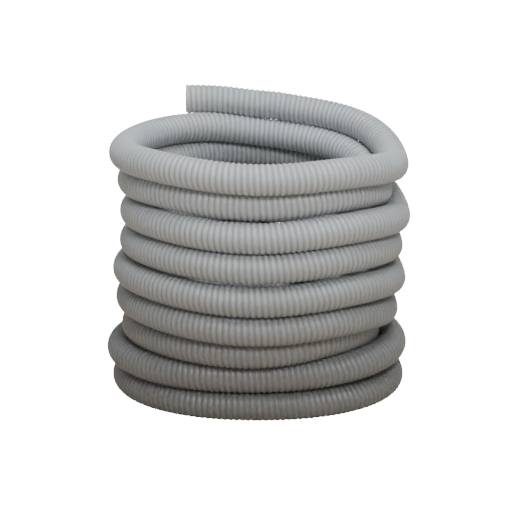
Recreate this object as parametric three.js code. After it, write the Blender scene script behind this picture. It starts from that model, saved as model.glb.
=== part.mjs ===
// A vacuum hose for a pool: eleven metres of corrugated plastic hose, wound into a standing coil of
// nine turns, with its plain upper end lying free on top. Millimetres, +Z up, the coil on z = 0.
// The hose is one long tube. It is cut here into stretches that can move as the real hose bends: a
// front half and a rear half for every turn, and a chain of short links for the free end.
import * as THREE from 'three';

// ---- The hose
const HOSE_DIAMETER = 44; // over the ribs
const BORE = 38; // clear way through the hose
const SECTION_SIDES = 12;

// ---- The coil. Angles are in degrees seen from above: 0 is right, 90 back, 180 left, 270 front.
// They go on growing, by 360 a turn, from the lower end of the hose to its upper end.
const LOWER_END_ANGLE = 126; // the lower end lies on the floor behind the coil
const CLIMB_ANGLE = 355; // from here the first turn climbs, to lie on top of the lower end
const FULL_TURN = 360;
const TURN_CLEARANCE = 1.3; // between the ribs of a turn and those of the turn that it lies on
const STEP_ANGLE = 18; // between two sections of a turn

// The middle of the hose runs round the coil's axis at COIL_RADIUS, give or take what is written here
// for the left, front, right and back of each turn, the lowest turn first. A coil wound by hand is
// uneven, and a turn that is smaller than its neighbours sits a little down between them.
const COIL_RADIUS = 195;
const AXIS_BACK = 4; // from the middle of the footprint to the coil's axis
const LOWER_END_OFFSET = 12; // at the back, where the lower end is
const TURN_OFFSET = [
  [4, -34, 6, 5],
  [12, -30, 10, -2],
  [-11, -13, -31, 7],
  [-3, 10, -4, 0],
  [1, 16, 7, -4],
  [-10, 15, 2, -6],
  [-11, 16, 13, 4],
  [-7, -4, -15, -22],
  [4, 16, 9, -10],
];
// How far a turn is held up off the turn below, at the same four places.
const TURN_LIFT = [
  [0, 0, 0, 0],
  [0, 0, 7, 0],
  [0, 0.5, 0, 0],
  [0, 1, 0, 0],
  [0, 0, 4, 0],
  [0, 4, 5, 0],
  [0, 0, 0, 0],
  [0, 3, 4, 0],
  [0, 2, 0, 3],
];
const TURN_COUNT = TURN_OFFSET.length;

// ---- The free end. At the coil's back it leaves the turn below and runs out straight to the left.
// Each point is x, then how much further back and how much higher it is than the hose at the back.
const FREE_END_POINTS = [
  [-4, 0, 0.15],
  [-22, 0, 1.5],
  [-40, 0, 3],
  [-58, 0, 4],
  [-76, 0, 4.5],
  [-94, 0, 4.5],
  [-112, 0, 4.5],
];
const FREE_END_STEPS = 6;

// ---- The joints
const CUT_GAP = 0.4; // between the cut faces of two stretches
const LINK_ANGLE = 30; // length of a link of the free end
const LINK_NAMES = ['free_end_root', 'free_end_lower', 'free_end_upper'];
const LINK_STEPS = 3;

// ---- The colour of the hose: milky, half-clear plastic
const HOSE_COLOUR = 0xc6c8c9;
const HOSE_ROUGHNESS = 0.42;

const radians = THREE.MathUtils.degToRad;

// A smooth curve over the angle, through a value at the back of the lower end and then through the
// values of a table, which are a quarter of a turn apart. The value before the last one comes again
// after it, so that the hose runs square to the left and right where its straight end starts.
function aroundTheCoil(atLowerEnd, table) {
  const values = [atLowerEnd, ...table.flat(), table.at(-1).at(-2)];
  const curve = new THREE.SplineCurve(values.map((value, place) => new THREE.Vector2(place, value)));
  const lastPlace = values.length - 1;
  return (angle) => curve.getPoint(THREE.MathUtils.clamp((angle - 90) / 90 / lastPlace, 0, 1)).y;
}

const offsetAt = aroundTheCoil(LOWER_END_OFFSET, TURN_OFFSET);
const liftAt = aroundTheCoil(0, TURN_LIFT);
const reachAt = (angle) => COIL_RADIUS + offsetAt(angle);

function planPoint(angle) {
  const turned = radians(angle);
  const reach = reachAt(angle);
  return new THREE.Vector2(reach * Math.cos(turned), reach * Math.sin(turned) + AXIS_BACK);
}

// Half the height of the hose's section, which stands on one of its flats.
const HALF_SECTION = (HOSE_DIAMETER / 2) * Math.cos(Math.PI / SECTION_SIDES);

// The heights of the middle of the hose, worked out from its lower end upwards at every TABLE_STEP.
// The first turn lies on the floor and then climbs over its own start. From there on, each point
// lies on whatever is highest below it, as one round tube on another: on the turn below, a little
// before or after the point, or on the turn below that one, where the turn between is pushed inwards.
const TABLE_STEP = 3;
const NEARBY_STEPS = 4;
const SMOOTHED_STEPS = 3;
const STEPS_IN_A_TURN = FULL_TURN / TABLE_STEP;
const TOP_OF_CLIMB = LOWER_END_ANGLE + FULL_TURN;
const BACK_ANGLE = FULL_TURN * TURN_COUNT + 90;
const heights = [];

function restingHeight(step) {
  const here = planPoint(LOWER_END_ANGLE + step * TABLE_STEP);
  const apart = HOSE_DIAMETER + TURN_CLEARANCE;
  let highest = HALF_SECTION;
  [1, 2].forEach((turnsBelow) => {
    for (let nearby = -NEARBY_STEPS; nearby <= NEARBY_STEPS; nearby += 1) {
      const below = step - turnsBelow * STEPS_IN_A_TURN + nearby;
      if (below >= 0) {
        const aside = here.distanceTo(planPoint(LOWER_END_ANGLE + below * TABLE_STEP));
        const rise = Math.sqrt(Math.max(apart * apart - aside * aside, 0));
        highest = Math.max(highest, heights[below] + rise);
      }
    }
  });
  return highest;
}

heights.push(...Array(NEARBY_STEPS + 1).fill(HALF_SECTION));
const climbTo = restingHeight(STEPS_IN_A_TURN);
for (let angle = LOWER_END_ANGLE, step = 0; angle <= BACK_ANGLE; angle += TABLE_STEP, step += 1) {
  if (angle < TOP_OF_CLIMB) {
    const climbed = THREE.MathUtils.smoothstep(angle, CLIMB_ANGLE, TOP_OF_CLIMB);
    heights[step] = THREE.MathUtils.lerp(HALF_SECTION, climbTo, climbed);
  } else {
    heights[step] = restingHeight(step) + Math.max(liftAt(angle), 0);
  }
}

// A hose can't kink where it comes to rest on something else, so the heights are evened out.
const evenHeights = heights.map((height, step) => {
  const around = heights.slice(Math.max(step - SMOOTHED_STEPS, 0), step + SMOOTHED_STEPS + 1);
  return new THREE.Vector2(step, around.reduce((sum, other) => sum + other, 0) / around.length);
});
const heightCurve = new THREE.SplineCurve(evenHeights);

function hosePoint(angle) {
  const { x, y } = planPoint(angle);
  const share = (angle - LOWER_END_ANGLE) / TABLE_STEP / (evenHeights.length - 1);
  return new THREE.Vector3(x, y, heightCurve.getPoint(THREE.MathUtils.clamp(share, 0, 1)).y);
}

// The middle line of a stretch of the coil, with its sections at equal angles, so that the facets
// of one turn line up with those of the turns above and below.
class CoilStretch extends THREE.Curve {
  constructor(startAngle, endAngle) {
    super();
    this.startAngle = startAngle;
    this.endAngle = endAngle;
  }

  getPoint(share, target = new THREE.Vector3()) {
    return target.copy(hosePoint(THREE.MathUtils.lerp(this.startAngle, this.endAngle, share)));
  }

  getUtoTmapping(share) {
    return share;
  }
}

// The hose's section: a wall between the outside, over the ribs, and the clear bore.
function hoseSection() {
  const ring = (radius) => Array.from({ length: SECTION_SIDES }, (_, side) => {
    const turned = ((side + 0.5) / SECTION_SIDES) * 2 * Math.PI;
    return new THREE.Vector2(radius * Math.cos(turned), radius * Math.sin(turned));
  });
  const section = new THREE.Shape(ring(HOSE_DIAMETER / 2));
  const boreCorner = BORE / 2 / Math.cos(Math.PI / SECTION_SIDES);
  section.holes.push(new THREE.Path(ring(boreCorner)));
  return section;
}

function hoseStretch(name, path, steps) {
  const geometry = new THREE.ExtrudeGeometry(hoseSection(), { steps, extrudePath: path });
  const material = new THREE.MeshStandardMaterial({
    color: HOSE_COLOUR, roughness: HOSE_ROUGHNESS, metalness: 0,
  });
  const mesh = new THREE.Mesh(geometry, material);
  mesh.name = name;
  return mesh;
}

// A stretch of the coil from one angle to another, cut short by half a gap at each end.
function coilStretch(name, startAngle, endAngle, steps) {
  const trim = (angle) => THREE.MathUtils.radToDeg(CUT_GAP / 2 / reachAt(angle));
  const path = new CoilStretch(startAngle + trim(startAngle), endAngle - trim(endAngle));
  return hoseStretch(name, path, steps);
}

const hose = new THREE.Group();
const stepsIn = (angle) => Math.round(angle / STEP_ANGLE);

// The links of the free end end at the coil's back, so the top turn is whatever they leave of it.
const freeEndAngle = BACK_ANGLE - LINK_ANGLE * LINK_NAMES.length;

// ---- The lower end, on the floor behind the coil
hose.add(coilStretch('lower_end', LOWER_END_ANGLE, 180, stepsIn(180 - LOWER_END_ANGLE)));

// ---- The turns, counted from the top: the front half from left to right, and the rear half, which
// climbs from the right to the left of the turn above
for (let level = 0; level < TURN_COUNT; level += 1) {
  const turn = TURN_COUNT - level;
  const left = 180 + FULL_TURN * level;
  const right = turn > 1 ? left + 180 : freeEndAngle;
  hose.add(coilStretch(`turn_${turn}_front`, left, right, stepsIn(right - left)));
  if (turn > 1) {
    hose.add(coilStretch(`turn_${turn}_rear`, right, right + 180, stepsIn(180)));
  }
}

// ---- The free end: links that lie on the coil, and the tip that runs out straight
LINK_NAMES.forEach((name, link) => {
  const start = freeEndAngle + LINK_ANGLE * link;
  hose.add(coilStretch(name, start, start + LINK_ANGLE, LINK_STEPS));
});

const back = hosePoint(BACK_ANGLE);
const tipPoints = [back.clone().setX(-CUT_GAP / 2)];
FREE_END_POINTS.forEach(([x, further, higher]) => {
  tipPoints.push(new THREE.Vector3(x, back.y + further, back.z + higher));
});
hose.add(hoseStretch('free_end_tip', new THREE.CatmullRomCurve3(tipPoints), FREE_END_STEPS));

export default hose;
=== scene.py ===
# %% [markdown]
# # A vacuum hose for a pool, wound into a standing coil
#
# The real thing is one piece: eleven metres of corrugated plastic hose. A soft wall and a rounded
# rib are welded together as the hose is wound, so the rib runs round it as one long screw thread.
# Wound up by hand, it stands on the floor as nine uneven turns, and its upper end lies on top.
#
# The model is made the way the hose is made. First a straight length is wound up like a screw
# thread. Then it is cut to length and given its wall, and at last it is laid along the coil.

# %% The frame that everything is built round
import math

import bmesh
import bpy
import numpy as np
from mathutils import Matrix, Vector


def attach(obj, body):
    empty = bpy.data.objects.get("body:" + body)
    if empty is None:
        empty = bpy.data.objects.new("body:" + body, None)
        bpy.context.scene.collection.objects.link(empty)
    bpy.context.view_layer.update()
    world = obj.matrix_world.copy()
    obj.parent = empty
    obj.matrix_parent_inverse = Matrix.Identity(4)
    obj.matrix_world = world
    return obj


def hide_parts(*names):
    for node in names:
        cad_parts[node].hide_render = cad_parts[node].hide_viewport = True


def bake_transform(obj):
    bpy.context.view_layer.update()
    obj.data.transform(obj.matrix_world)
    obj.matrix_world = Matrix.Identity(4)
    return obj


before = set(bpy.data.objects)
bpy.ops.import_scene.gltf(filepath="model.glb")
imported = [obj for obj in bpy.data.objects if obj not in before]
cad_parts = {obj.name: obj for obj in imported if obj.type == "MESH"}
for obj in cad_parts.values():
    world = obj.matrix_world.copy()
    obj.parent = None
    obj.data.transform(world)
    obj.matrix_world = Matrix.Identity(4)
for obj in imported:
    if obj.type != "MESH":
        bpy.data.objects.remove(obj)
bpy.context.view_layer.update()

# %% [markdown]
# ## The route of the hose
#
# Angles are in degrees seen from above: 0 is right, 90 back, 180 left and 270 front. They go on
# growing, by 360 a turn, from the lower end of the hose to its upper end. A coil wound by hand is
# never even, so the hose's distance from the coil's axis is given for the left, front, right and
# back of each turn, and a smooth curve is drawn through those values.

# %% Sizes of the hose and of the coil, in metres
QUARTER_TURN = 90
HALF_TURN = 180
FULL_TURN = 360
MM_PER_METRE = 1000

HOSE_DIAMETER = 0.044
SECTION_SIDES = 12  # of the CAD hose, which rests on one of its flats
LOWER_END_ANGLE = 126  # the hose starts behind the coil, on the floor
CLIMB_ANGLE = 355  # from here its first turn climbs over that start
TURN_CLEARANCE = 0.0013
COIL_RADIUS = 0.195
AXIS_BACK = 0.004
LOWER_END_OFFSET = 12

# Millimetres more or less than the coil's radius: left, front, right, back, the lowest turn first.
TURN_OFFSET = [
    [4, -34, 6, 5],
    [12, -30, 10, -2],
    [-11, -13, -31, 7],
    [-3, 10, -4, 0],
    [1, 16, 7, -4],
    [-10, 15, 2, -6],
    [-11, 16, 13, 4],
    [-7, -4, -15, -22],
    [4, 16, 9, -10],
]
# Millimetres that a turn is held up off the turn below, at the same places.
TURN_LIFT = [
    [0, 0, 0, 0],
    [0, 0, 7, 0],
    [0, 0.5, 0, 0],
    [0, 1, 0, 0],
    [0, 0, 4, 0],
    [0, 4, 5, 0],
    [0, 0, 0, 0],
    [0, 3, 4, 0],
    [0, 2, 0, 3],
]
TURN_COUNT = len(TURN_OFFSET)
BACK_ANGLE = FULL_TURN * TURN_COUNT + QUARTER_TURN
print(TURN_COUNT, "turns, from", LOWER_END_ANGLE, "to", BACK_ANGLE, "degrees")


# %% A smooth curve through evenly spaced values
def spline_at(values, place):
    """The value at a place along a list, on a smooth curve that passes through every value."""
    values = np.asarray(values, float)
    last = len(values) - 1
    place = np.clip(place, 0, last)
    before = np.minimum(np.floor(place).astype(int), last - 1)
    share = place - before
    start, end = values[before], values[before + 1]
    start_slope = (end - values[np.maximum(before - 1, 0)]) / 2
    end_slope = (values[np.minimum(before + 2, last)] - start) / 2
    return (
        (2 * share**3 - 3 * share**2 + 1) * start
        + (share**3 - 2 * share**2 + share) * start_slope
        + (3 * share**2 - 2 * share**3) * end
        + (share**3 - share**2) * end_slope
    )


def around_the_coil(at_lower_end, table, angle):
    """A value given at the quarters of each turn, in millimetres, read at any angle, in metres."""
    values = [at_lower_end, *np.ravel(table), table[-1][-2]]
    return spline_at(values, (angle - QUARTER_TURN) / QUARTER_TURN) / MM_PER_METRE


def plan_point(angle):
    """Where the middle of the hose is at an angle, seen from above."""
    reach = COIL_RADIUS + around_the_coil(LOWER_END_OFFSET, TURN_OFFSET, angle)
    turned = np.radians(angle)
    return np.array([reach * np.cos(turned), reach * np.sin(turned) + AXIS_BACK])


print("the lower end lies at", plan_point(LOWER_END_ANGLE).round(4))

# %% [markdown]
# ## Heights
#
# The first turn lies on the floor and then climbs over its own start. From there on each point of
# the hose lies on whatever is highest below it, as one round tube on another: on the turn below, or
# on the one below that where the turn between is pushed inwards. The heights are worked out from
# the lower end upwards, and then evened out, because a hose can't kink.

# %% Lay the hose on itself, three degrees at a time
TABLE_STEP = 3
NEARBY_STEPS = 4
SMOOTHED_STEPS = 3
STEPS_IN_A_TURN = FULL_TURN // TABLE_STEP
TOP_OF_CLIMB = LOWER_END_ANGLE + FULL_TURN
HALF_SECTION = HOSE_DIAMETER / 2 * math.cos(math.pi / SECTION_SIDES)

table_angles = np.arange(LOWER_END_ANGLE, BACK_ANGLE + 1, TABLE_STEP)
table_plan = np.array([plan_point(angle) for angle in table_angles])
# Every point starts on the floor, and is raised when its turn comes.
heights = [HALF_SECTION] * len(table_angles)


def resting_height(step):
    """The height at which the hose rests on the highest of what lies below it."""
    apart = HOSE_DIAMETER + TURN_CLEARANCE
    highest = HALF_SECTION
    for turns_below in (1, 2):
        for nearby in range(-NEARBY_STEPS, NEARBY_STEPS + 1):
            below = step - turns_below * STEPS_IN_A_TURN + nearby
            if below >= 0:
                aside = float(np.linalg.norm(table_plan[step] - table_plan[below]))
                rise = math.sqrt(max(apart**2 - aside**2, 0))
                highest = max(highest, heights[below] + rise)
    return highest


climb_to = resting_height(STEPS_IN_A_TURN)
for step, angle in enumerate(table_angles):
    if angle < TOP_OF_CLIMB:
        climbed = min(max((angle - CLIMB_ANGLE) / (TOP_OF_CLIMB - CLIMB_ANGLE), 0), 1)
        eased = climbed * climbed * (3 - 2 * climbed)
        height = HALF_SECTION + (climb_to - HALF_SECTION) * eased
    else:
        lift = max(float(around_the_coil(0, TURN_LIFT, angle)), 0)
        height = resting_height(step) + lift
    heights[step] = height

even_heights = [
    sum(around) / len(around)
    for around in (
        heights[max(step - SMOOTHED_STEPS, 0) : step + SMOOTHED_STEPS + 1]
        for step in range(len(heights))
    )
]
print("the hose rises to", round(even_heights[-1], 4), "m at the back of its top turn")

# %% [markdown]
# ## One long middle line
#
# The turns and the straight free end are joined into one line, measured along its length. Every
# stretch of hose then only needs to know where it starts and ends on that line, and its ribs meet
# those of its neighbours, because all of them count from the same lower end.

# %% The middle line, with its length measured along it
# The straight end: x, then how much further back and higher than the hose at the coil's back.
FREE_END_POINTS = [
    (-0.004, 0, 0.00015),
    (-0.022, 0, 0.0015),
    (-0.040, 0, 0.003),
    (-0.058, 0, 0.004),
    (-0.076, 0, 0.0045),
    (-0.094, 0, 0.0045),
    (-0.112, 0, 0.0045),
]
POINTS_PER_SPAN = 6
LINE_STEP = 1.0  # degrees

line_angles = np.arange(LOWER_END_ANGLE, BACK_ANGLE + LINE_STEP / 2, LINE_STEP)
line_heights = spline_at(even_heights, (line_angles - LOWER_END_ANGLE) / TABLE_STEP)
turns_line = np.column_stack([plan_point(line_angles).T, line_heights])
back_point = turns_line[-1]
end_points = [back_point] + [back_point + np.array([x, y, z]) for x, y, z in FREE_END_POINTS]
spans = len(end_points) - 1
places = np.linspace(0, spans, spans * POINTS_PER_SPAN + 1)
end_line = np.column_stack([spline_at(axis, places) for axis in np.array(end_points).T])
middle_line = np.vstack([turns_line, end_line[1:]])

# Behind the coil the free end sags on to the turn below, and slides a little inwards on it. Both
# are greatest at one x and fade out to either side of it, and only the last quarter turn does this.
SAG = 0.0035
SLIDE = 0.006
SAG_MIDDLE = 0.05
SAG_REACH = 0.16
quarter_turn_points = round(QUARTER_TURN / LINE_STEP)
on_top = np.arange(len(middle_line)) > len(turns_line) - quarter_turn_points
from_middle = np.abs(middle_line[:, 0] - SAG_MIDDLE) / SAG_REACH
sag_share = np.cos(np.clip(from_middle, 0, 1) * math.pi / 2) ** 2 * on_top
middle_line[:, 2] -= SAG * sag_share
middle_line[:, 1] -= SLIDE * sag_share

steps_along = np.linalg.norm(np.diff(middle_line, axis=0), axis=1)
line_length = np.concatenate([[0], np.cumsum(steps_along)])
HOSE_LENGTH = float(line_length[-1])


def length_at(angle):
    """Length of hose from the lower end to an angle."""
    return float(np.interp(angle, line_angles, line_length[: len(line_angles)]))


def point_at(length):
    """The middle of the hose at one or more lengths from its lower end."""
    return np.column_stack([np.interp(length, line_length, axis) for axis in middle_line.T])


print("length of the hose:", round(HOSE_LENGTH, 3), "m")

# %% [markdown]
# ## The camera
#
# A long lens from nearly four metres away keeps the coil's sides upright, and it looks down a
# little, so that the free end shows over the top turn.

# %% Camera
CAMERA_DISTANCE = 3.85
CAMERA_ELEVATION = math.radians(15.1)
LOOKED_AT_HEIGHT = 0.190
AIM_POINT = Vector((-0.002, AXIS_BACK, 0.2075))
FOCAL_LENGTH = 178.1  # millimetres, as is the next
SENSOR_WIDTH = 36
FARTHEST_SEEN = 60

camera_data = bpy.data.cameras.new("camera")
camera_data.lens = FOCAL_LENGTH
camera_data.sensor_width = SENSOR_WIDTH
camera_data.clip_end = FARTHEST_SEEN
camera = bpy.data.objects.new("camera", camera_data)
bpy.context.scene.collection.objects.link(camera)
camera.location = (
    0,
    AXIS_BACK - CAMERA_DISTANCE * math.cos(CAMERA_ELEVATION),
    LOOKED_AT_HEIGHT + CAMERA_DISTANCE * math.sin(CAMERA_ELEVATION),
)
aim = AIM_POINT - camera.location
camera.rotation_euler = aim.to_track_quat("-Z", "Y").to_euler()
bpy.context.scene.camera = camera
print("camera at", [round(value, 3) for value in camera.location])

# %% [markdown]
# ## A straight length of hose
#
# The rib is a screw thread, so it is made as one: a short outline of one rib and one groove is spun
# round the hose's axis while it moves along by one rib at each turn. The next turn of the spin then
# starts exactly where the last one ended, and merging the doubles leaves one seamless skin. Long
# arrays of rings would be quicker, but their ribs would be hoops, and on the real hose they climb.

# %% One rib and its groove
RIB_PITCH = 0.0084
CREST_SPREAD = 0.0010  # the crests of neighbouring turns press on each other
CREST_RADIUS = HOSE_DIAMETER / 2 + CREST_SPREAD
RIB_HEIGHT = 0.0017
RIB_FULLNESS = 1.3  # 1 makes a plain half wave, more makes a slimmer crest
OUTLINE_STEPS = 8
STEPS_ROUND = 32
MASTER_RIBS = 102


def rib_radius(share):
    """Radius of the outline over one rib: a round crest between two soft grooves."""
    bulge = abs(math.sin(math.pi * share)) ** RIB_FULLNESS
    return CREST_RADIUS - RIB_HEIGHT * (1 - bulge)


print("rib radius:", [round(rib_radius(step / OUTLINE_STEPS), 5) for step in range(OUTLINE_STEPS)])

# %% Wind the master length
MERGE_DISTANCE = RIB_PITCH / OUTLINE_STEPS / 8


def wind_master():
    """A straight length of ribbed skin, longer than any stretch that is cut from it."""
    hose = bmesh.new()
    outline = [
        hose.verts.new((RIB_PITCH * step / OUTLINE_STEPS, 0, rib_radius(step / OUTLINE_STEPS)))
        for step in range(OUTLINE_STEPS + 1)
    ]
    edges = [hose.edges.new(pair) for pair in zip(outline, outline[1:])]
    bmesh.ops.spin(
        hose,
        geom=outline + edges,
        cent=(0, 0, 0),
        axis=(1, 0, 0),
        dvec=(RIB_PITCH / STEPS_ROUND, 0, 0),
        angle=2 * math.pi * MASTER_RIBS,
        steps=STEPS_ROUND * MASTER_RIBS,
        use_merge=False,
        use_normal_flip=False,
        use_duplicate=False,
    )
    bmesh.ops.remove_doubles(hose, verts=hose.verts, dist=MERGE_DISTANCE)
    bmesh.ops.recalc_face_normals(hose, faces=hose.faces)
    # A tube with open ends has no inside, so its faces may all have been turned inwards. One face
    # in the middle is held against the direction away from the axis, to find out.
    hose.faces.ensure_lookup_table()
    some_face = hose.faces[len(hose.faces) // 2]
    outwards = some_face.calc_center_median() * Vector((0, 1, 1))
    if some_face.normal.dot(outwards) < 0:
        bmesh.ops.reverse_faces(hose, faces=hose.faces)
    return hose


master = wind_master()
print("the master length has", len(master.verts), "points and", len(master.faces), "faces")

# %% [markdown]
# ## Cutting, walls and bending
#
# Each stretch is a copy of the master, cut square at both ends. Solidify then gives it a wall, with
# a rim at each cut. The last step moves every point from the straight hose on to the coil: a point
# keeps its distance from the middle line, and the line is followed with one side always up, so
# neighbouring stretches meet without a twist. The lowest points are pressed closer together and
# never through the floor, as the weight of the coil does to the ribs of its lowest turn. Each point
# also remembers how high it is on its rib, for the material.

# %% A stretch of hose from one place on the line to another
WALL = 0.0013
PRESSED_BELOW = 0.0015
TANGENT_STEP = 0.004
CUT_TOLERANCE = 1e-6


def cut_square(hose, place, clear_inner, clear_outer):
    """Cut a straight hose across, and clear away what is before or after the cut."""
    bmesh.ops.bisect_plane(
        hose,
        geom=hose.verts[:] + hose.edges[:] + hose.faces[:],
        dist=CUT_TOLERANCE,
        plane_co=(place, 0, 0),
        plane_no=(1, 0, 0),
        clear_inner=clear_inner,
        clear_outer=clear_outer,
    )


def lay_on_line(mesh, shift):
    """Move a straight hose on to the middle line, and note how high each point is on its rib."""
    # Where every point is on the straight hose, which runs along x.
    count = len(mesh.vertices)
    straight = np.empty(count * 3, np.float32)
    mesh.vertices.foreach_get("co", straight)
    straight = straight.reshape(-1, 3).astype(float)

    # The middle of the hose beside each point, and which way it runs there.
    along = straight[:, 0] + shift
    middle = point_at(along)
    ahead = np.clip(along + TANGENT_STEP, 0, HOSE_LENGTH)
    behind = np.clip(along - TANGENT_STEP, 0, HOSE_LENGTH)
    tangent = point_at(ahead) - point_at(behind)
    tangent /= np.linalg.norm(tangent, axis=1)[:, None]

    # Sideways stays level, so the hose doesn't twist as it climbs.
    sideways = np.cross(np.array([0, 0, 1.0]), tangent)
    sideways /= np.linalg.norm(sideways, axis=1)[:, None]
    upwards = np.cross(tangent, sideways)
    bent = middle + sideways * straight[:, 1:2] + upwards * straight[:, 2:3]

    # Close to the floor the heights are pressed together, more the lower they would be.
    near_floor = np.minimum(bent[:, 2] / PRESSED_BELOW, 1)
    bent[:, 2] = np.where(near_floor < 1, PRESSED_BELOW * np.exp(near_floor - 1), bent[:, 2])
    mesh.vertices.foreach_set("co", bent.astype(np.float32).ravel())

    # 1 on the crest of a rib, 0 in a groove and on the inner wall.
    radius = np.hypot(straight[:, 1], straight[:, 2])
    on_rib = np.clip((radius - CREST_RADIUS + RIB_HEIGHT) / RIB_HEIGHT, 0, 1)
    attribute = mesh.attributes.new("rib_height", "FLOAT", "POINT")
    attribute.data.foreach_set("value", on_rib.astype(np.float32))
    mesh.update()


def hose_stretch(name, start, end):
    """The hose between two lengths from its lower end, as an object of its own."""
    # The copy of the master starts on a whole rib, a little before the cut.
    first_rib = math.floor(start / RIB_PITCH) - 1
    shift = first_rib * RIB_PITCH
    hose = master.copy()
    cut_square(hose, start - shift, clear_inner=True, clear_outer=False)
    cut_square(hose, end - shift, clear_inner=False, clear_outer=True)
    bmesh.ops.solidify(hose, geom=hose.faces[:], thickness=WALL)
    mesh = bpy.data.meshes.new(name)
    hose.to_mesh(mesh)
    hose.free()
    mesh.shade_smooth()
    lay_on_line(mesh, shift)
    piece = bpy.data.objects.new(name, mesh)
    bpy.context.scene.collection.objects.link(piece)
    return piece


# %% [markdown]
# ## Milky plastic
#
# The plastic is half clear. Light gets into the ribs and out again, so the crests look whiter than
# the grooves, where the wall is thin and the dark of the inside shows through. The ribs are glossy
# from the mandrel, the grooves are dull, and handling leaves the whole hose a little uneven in tone.
# Towards the floor the colour is painted darker, as painted shade on the lower turns. Noise on Object
# coordinates gives
# the uneven tone, and the rib heights that the mesh carries tell crests from grooves.

# %% Sockets that add and multiply
# The Mix node has a set of sockets for each kind of data. These are its colour ones.
MIX_SHARE = 0
MIX_FIRST = 6
MIX_SECOND = 7
MIX_RESULT = 2


class Value:
    """A number in a material: an expression on it adds the Math nodes."""

    def __init__(self, nodes, socket):
        self.nodes = nodes
        self.socket = socket

    def maths(self, operation, first, second):
        return self.nodes.add("ShaderNodeMath", {"operation": operation}, [first, second])

    def __add__(self, other):
        return self.maths("ADD", self, other)

    __radd__ = __add__

    def __mul__(self, other):
        return self.maths("MULTIPLY", self, other)

    __rmul__ = __mul__

    def __sub__(self, other):
        return self.maths("SUBTRACT", self, other)

    def __rsub__(self, other):
        return self.maths("SUBTRACT", other, self)

    def __pow__(self, other):
        return self.maths("POWER", self, other)


class Material:
    """A node material that is built up by calls, with its Principled shader ready."""

    def __init__(self, name):
        self.material = bpy.data.materials.new(name)
        self.material.use_nodes = True
        self.tree = self.material.node_tree
        self.shader = self.tree.nodes["Principled BSDF"]

    def link(self, value, socket):
        """Give a socket what feeds it: another node's value, or a plain number or colour."""
        if isinstance(value, Value):
            self.tree.links.new(value.socket, socket)
        else:
            socket.default_value = value

    def add(self, kind, settings, inputs, output=0):
        """Add a node with its settings, then its inputs, and hand back one of its outputs."""
        node = self.tree.nodes.new(kind)
        for key, value in settings.items():
            setattr(node, key, value)
        pairs = inputs.items() if isinstance(inputs, dict) else enumerate(inputs)
        for key, value in pairs:
            self.link(value, node.inputs[key])
        return Value(self, node.outputs[output])

    def mix(self, share, first, second):
        """Mix two colours. A share of 0 is the first, and 1 is the second."""
        inputs = {MIX_SHARE: share, MIX_FIRST: first, MIX_SECOND: second}
        return self.add("ShaderNodeMix", {"data_type": "RGBA"}, inputs, MIX_RESULT)


# %% The hose's plastic
CREST_COLOUR = (0.44, 0.475, 0.495, 1)
GROOVE_COLOUR = (0.30, 0.315, 0.32, 1)
WARM_COLOUR = (0.36, 0.35, 0.325, 1)
# Painted shade: the lower turns are darkened towards this colour, most at the floor.
PAINTED_SHADE_COLOUR = (0.105, 0.106, 0.104, 1)
CREST_FADE = 1.4  # more keeps the crest colour nearer the top of the rib
WARM_FROM = 0.42  # above this the cloudy noise starts to warm the tone
WARM_SHARE = 0.9
PAINTED_SHADE_TOP = 0.42  # metres above the floor, where the painted shade has faded out
PAINTED_SHADE_SHARE = 0.95  # share of painted shade at the floor
CLOUDS = {"Scale": 14.0, "Detail": 3.0, "Roughness": 0.6}
SPECKLES = {"Scale": 420.0, "Detail": 2.0}
SPECKLE_BUMP = {"Strength": 0.04, "Distance": 0.0002}
NOISE_MIDDLE = 0.5
GROOVE_ROUGHNESS = 0.50
CREST_POLISH = 0.12
CLOUD_ROUGHNESS = 0.12
SPECKLE_ROUGHNESS = 0.06
# What is the same all over: a thin gloss, and light that spreads inside the wall, red the furthest.
PLASTIC_SETTINGS = {
    "IOR": 1.5,
    "Coat Weight": 0.12,
    "Coat Roughness": 0.26,
    "Subsurface Weight": 0.6,
    "Subsurface Radius": (1.0, 0.85, 0.65),
    "Subsurface Scale": 0.012,
}


def hose_plastic():
    plastic = Material("hose_plastic")
    sockets = plastic.shader.inputs
    rib = plastic.add("ShaderNodeAttribute", {"attribute_name": "rib_height"}, {}, "Fac")
    place = plastic.add("ShaderNodeTexCoord", {}, {}, "Object")
    cloudy = plastic.add("ShaderNodeTexNoise", {}, {"Vector": place, **CLOUDS})
    speckle = plastic.add("ShaderNodeTexNoise", {}, {"Vector": place, **SPECKLES})
    clean = plastic.mix(rib**CREST_FADE, GROOVE_COLOUR, CREST_COLOUR)
    handled = plastic.mix((cloudy - WARM_FROM) * WARM_SHARE, clean, WARM_COLOUR)
    # Painted shade: the colour is darkened towards the floor, by height alone.
    height = plastic.add("ShaderNodeSeparateXYZ", {}, {"Vector": place}, "Z")
    painted_shade = plastic.add(
        "ShaderNodeMapRange",
        {"interpolation_type": "SMOOTHSTEP"},
        {"Value": height, "From Min": 0.0, "From Max": PAINTED_SHADE_TOP, "To Min": PAINTED_SHADE_SHARE, "To Max": 0.0},
    )
    plastic.link(plastic.mix(painted_shade, handled, PAINTED_SHADE_COLOUR), sockets["Base Color"])
    uneven = (cloudy - NOISE_MIDDLE) * CLOUD_ROUGHNESS
    grainy = (speckle - NOISE_MIDDLE) * SPECKLE_ROUGHNESS
    roughness = GROOVE_ROUGHNESS - rib * CREST_POLISH + uneven + grainy
    plastic.link(roughness, sockets["Roughness"])
    bump = plastic.add("ShaderNodeBump", {}, {"Height": speckle, **SPECKLE_BUMP})
    plastic.link(bump, sockets["Normal"])
    for name, value in PLASTIC_SETTINGS.items():
        plastic.link(value, sockets[name])
    return plastic.material


HOSE_PLASTIC = hose_plastic()
print("the hose's plastic has", len(HOSE_PLASTIC.node_tree.nodes), "nodes")
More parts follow.
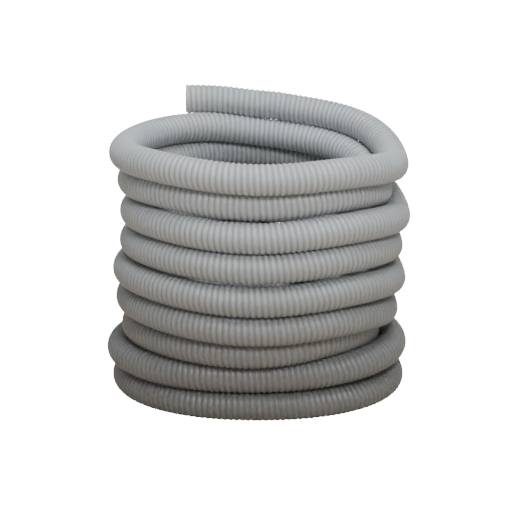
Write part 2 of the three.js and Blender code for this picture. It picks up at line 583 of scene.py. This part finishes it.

# %% [markdown]
# ## The coil
#
# Every turn is a front half and a rear half. The front half rides on its turn. The rear half climbs
# to the turn above. The lower end belongs to the bottom turn, and one stretch of hose covers both.

# %% Finishing a stretch
ROUTE_STEP = 0.03
FEWEST_POINTS = 3


def finish_stretch(piece, *nodes):
    """Give a stretch its plastic, and hide the CAD nodes that it takes the place of."""
    piece.data.materials.append(HOSE_PLASTIC)
    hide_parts(*nodes)


def route(start, end):
    """Points on the middle line between two lengths, about ROUTE_STEP apart."""
    count = max(int((end - start) / ROUTE_STEP), FEWEST_POINTS)
    points = point_at(np.linspace(start, end, count))
    return [tuple(float(value) for value in point) for point in points]


print("a whole turn of average width has about", len(route(0, 2 * math.pi * COIL_RADIUS)), "points")

for turn in range(TURN_COUNT, 1, -1):
    left = HALF_TURN + FULL_TURN * (TURN_COUNT - turn)
    right = left + HALF_TURN
    is_bottom = turn == TURN_COUNT
    start = length_at(LOWER_END_ANGLE if is_bottom else left)
    middle = length_at(right)
    end = length_at(right + HALF_TURN)
    front = hose_stretch(f"turn_{turn}_front_hose", start, middle)
    finish_stretch(front, f"turn_{turn}_front", *(["lower_end"] if is_bottom else []))
    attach(front, f"turn_{turn}")
    rear = hose_stretch(f"turn_{turn}_rear_hose", middle, end)
    finish_stretch(rear, f"turn_{turn}_rear")
    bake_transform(rear)
    print("turn", turn, "takes", round(end - start, 3), "m of hose")

# %% [markdown]
# ## The top turn and the free end
#
# The free end bends at four places, up and outwards in turn. A stretch of hose is centred on each of
# them.

# %% The top turn and the free end
TOP_LEFT = HALF_TURN + FULL_TURN * (TURN_COUNT - 1)
TOP_RIGHT = TOP_LEFT + HALF_TURN
HALF_LINK = 15
# The body after the bend, the body before it, and how many degrees past the coil's right it is.
BENDS = [
    ("free_end_root", "turn_1", 0),
    ("free_end_lower", "free_end_root", 30),
    ("free_end_upper", "free_end_lower", 60),
    ("free_end_tip", "free_end_upper", 90),
]

for name, body_before, past_right in BENDS:
    bend_angle = TOP_RIGHT + past_right
    start = length_at(bend_angle - HALF_LINK)
    end = HOSE_LENGTH if name == "free_end_tip" else length_at(bend_angle + HALF_LINK)
    piece = hose_stretch(f"{name}_hose", start, end)
    finish_stretch(piece, name)
    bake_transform(piece)

top_start = length_at(TOP_LEFT)
top_end = length_at(TOP_RIGHT - HALF_LINK)
top_front = hose_stretch("turn_1_front_hose", top_start, top_end)
finish_stretch(top_front, "turn_1_front")
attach(top_front, "turn_1")
master.free()
print("the free end takes", round(HOSE_LENGTH - top_end, 3), "m of hose")

# %% [markdown]
# ## Which lengths of hose lie loose
# The four short stretches of the free end lie on the rear half of turn 2.

# %% [markdown]
# ## Floor and light
#
# A pale floor that runs out of sight, a dim sky, and large soft lamps in front of the coil and over
# it. Light from above leaves the undersides darker than the tops, and a weak warm lamp low down
# keeps them from going black. The floor glows for the camera only, which keeps it nearly white
# without lighting the hose from below. Nothing on the hose itself does that.

# %% Floor
FLOOR_HALF_SIZE = 12
FLOOR_DROP = 0.0003
FLOOR_COLOUR = (0.50, 0.43, 0.35, 1)
FLOOR_ROUGHNESS = 0.95
WHITE = (1, 1, 1, 1)
FLOOR_GLOW = 30.0
FLOOR_GLOW_SHARE = 0.8


def make_floor():
    """A large matt plane just under the hose, staged so that it isn't part of the object."""
    plane = bmesh.new()
    bmesh.ops.create_grid(plane, x_segments=1, y_segments=1, size=FLOOR_HALF_SIZE)
    bmesh.ops.translate(plane, verts=plane.verts, vec=(0, 0, -FLOOR_DROP))
    mesh = bpy.data.meshes.new("floor")
    plane.to_mesh(mesh)
    plane.free()
    floor = bpy.data.objects.new("floor", mesh)
    bpy.context.scene.collection.objects.link(floor)
    pale = Material("floor_paint")
    pale.link(FLOOR_COLOUR, pale.shader.inputs["Base Color"])
    pale.link(FLOOR_ROUGHNESS, pale.shader.inputs["Roughness"])
    pale.link(0.0, pale.shader.inputs["Specular IOR Level"])
    lit = pale.add("ShaderNodeEmission", {}, {"Color": WHITE, "Strength": FLOOR_GLOW})
    seen = pale.add("ShaderNodeLightPath", {}, {}, "Is Camera Ray")
    matt = Value(pale, pale.shader.outputs[0])
    floor_shader = pale.add("ShaderNodeMixShader", {}, [seen * FLOOR_GLOW_SHARE, matt, lit])
    output = pale.tree.nodes["Material Output"]
    pale.link(floor_shader, output.inputs["Surface"])
    mesh.materials.append(pale.material)


make_floor()
print("the floor is", 2 * FLOOR_HALF_SIZE, "m across")

# %% Sky and lamps
NEUTRAL = (1, 1, 1)
COOL = (0.96, 0.98, 1.0)
WARM = (1.0, 0.82, 0.62)
SKY_STRENGTH = 0.62
# Name, place, what it points at, size in metres, power in watts and colour.
LAMPS = [
    ("overhead_lamp", (0.2, -0.8, 2.8), (0, 0, 0.2), 1.0, 60, COOL),
    ("front_lamp", (0.5, -2.5, 2.0), (0, 0, 0.35), 0.6, 52, NEUTRAL),
    ("low_lamp", (0.3, -3.0, 0.35), (0, 0, 0.2), 1.0, 8, WARM),
]


def soft_lamp(name, place, target, size, power, colour):
    """A square lamp that points at a target. The larger it is, the softer its shadows are."""
    data = bpy.data.lights.new(name, "AREA")
    data.shape = "SQUARE"
    data.size = size
    data.energy = power
    data.color = colour
    lamp = bpy.data.objects.new(name, data)
    lamp.location = place
    lamp.rotation_euler = (Vector(target) - Vector(place)).to_track_quat("-Z", "Y").to_euler()
    bpy.context.scene.collection.objects.link(lamp)


for lamp in LAMPS:
    soft_lamp(*lamp)

sky = bpy.data.worlds.new("sky")
sky.use_nodes = True
backdrop = sky.node_tree.nodes["Background"]
backdrop.inputs["Color"].default_value = WHITE
backdrop.inputs["Strength"].default_value = SKY_STRENGTH
bpy.context.scene.world = sky
print("a sky and", len(LAMPS), "lamps are in place")
